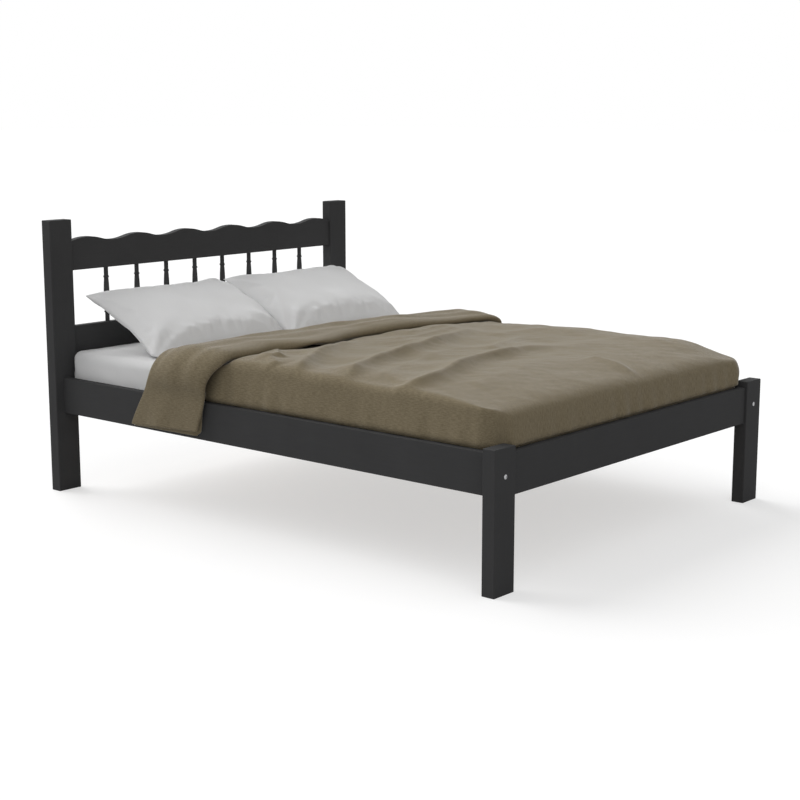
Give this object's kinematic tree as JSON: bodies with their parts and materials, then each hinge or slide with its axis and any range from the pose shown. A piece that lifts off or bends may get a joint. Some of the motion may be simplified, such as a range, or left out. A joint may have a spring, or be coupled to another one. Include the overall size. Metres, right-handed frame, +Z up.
{
  "type": "double bed",
  "caption": "Low wooden double bed: waved headboard rail over turned spindles, flat posts and legs, bolted side rails, slats, mattress, folded-back comforter and pillows.",
  "frame": {"origin": "on the floor, under the middle of the bed", "axes": "+Z up, +Y along the bed towards the headboard, +X to the bed's right seen from its foot"},
  "size_m": [1.518, 1.9874, 0.96],
  "materials": {
    "charcoal_paint": "satin",
    "bare_pine": "matte",
    "zinc_plate": "satin",
    "galvanised_sheet": "satin",
    "mattress_ticking": "matte",
    "sheet_cotton": "matte",
    "comforter_weave": "matte",
    "pillow_cotton": "matte"
  },
  "bodies": {
    "frame": {"head_post_left": "charcoal_paint", "head_post_right": "charcoal_paint", "foot_leg_left": "charcoal_paint", "foot_leg_right": "charcoal_paint", "headboard_top_rail": "charcoal_paint", "headboard_lower_rail": "charcoal_paint", "head_cross_rail": "charcoal_paint", "foot_rail": "charcoal_paint", "side_rail_left": "charcoal_paint", "side_rail_right": "charcoal_paint", "spindle_1": "charcoal_paint", "spindle_2": "charcoal_paint", "spindle_3": "charcoal_paint", "spindle_4": "charcoal_paint", "spindle_5": "charcoal_paint", "spindle_6": "charcoal_paint", "spindle_7": "charcoal_paint", "spindle_8": "charcoal_paint", "slat_cleat_left": "bare_pine", "slat_cleat_right": "bare_pine", "centre_beam": "bare_pine", "rail_dowels": "bare_pine", "slat_1": "bare_pine", "slat_2": "bare_pine", "slat_3": "bare_pine", "slat_4": "bare_pine", "slat_5": "bare_pine", "slat_6": "bare_pine", "slat_7": "bare_pine", "slat_8": "bare_pine", "slat_9": "bare_pine", "slat_10": "bare_pine", "slat_11": "bare_pine", "slat_12": "bare_pine", "slat_13": "bare_pine", "rail_bolts": "zinc_plate", "barrel_nuts": "zinc_plate", "cleat_screws": "zinc_plate", "slat_screws": "zinc_plate", "hanger_screws": "zinc_plate", "beam_hanger_foot": "galvanised_sheet", "beam_hanger_head": "galvanised_sheet"},
    "mattress": {"mattress": "mattress_ticking", "fitted_sheet": "sheet_cotton"},
    "comforter": {"comforter": "comforter_weave"},
    "pillow_left": {"pillow_left": "pillow_cotton"},
    "pillow_right": {"pillow_right": "pillow_cotton"}
  },
  "joints": [
    {"name": "mattress_lift", "type": "slide", "parent": "frame", "child": "mattress", "axis": [0, 0, 1], "range_m": [0, 0.35]},
    {"name": "comforter_lift", "type": "slide", "parent": "mattress", "child": "comforter", "axis": [0, 0, 1], "range_m": [0, 0.3]},
    {"name": "pillow_left_lift", "type": "slide", "parent": "mattress", "child": "pillow_left", "axis": [0, 0, 1], "range_m": [0, 0.45]},
    {"name": "pillow_right_lift", "type": "slide", "parent": "mattress", "child": "pillow_right", "axis": [0, 0, 1], "range_m": [0, 0.45]}
  ]
}
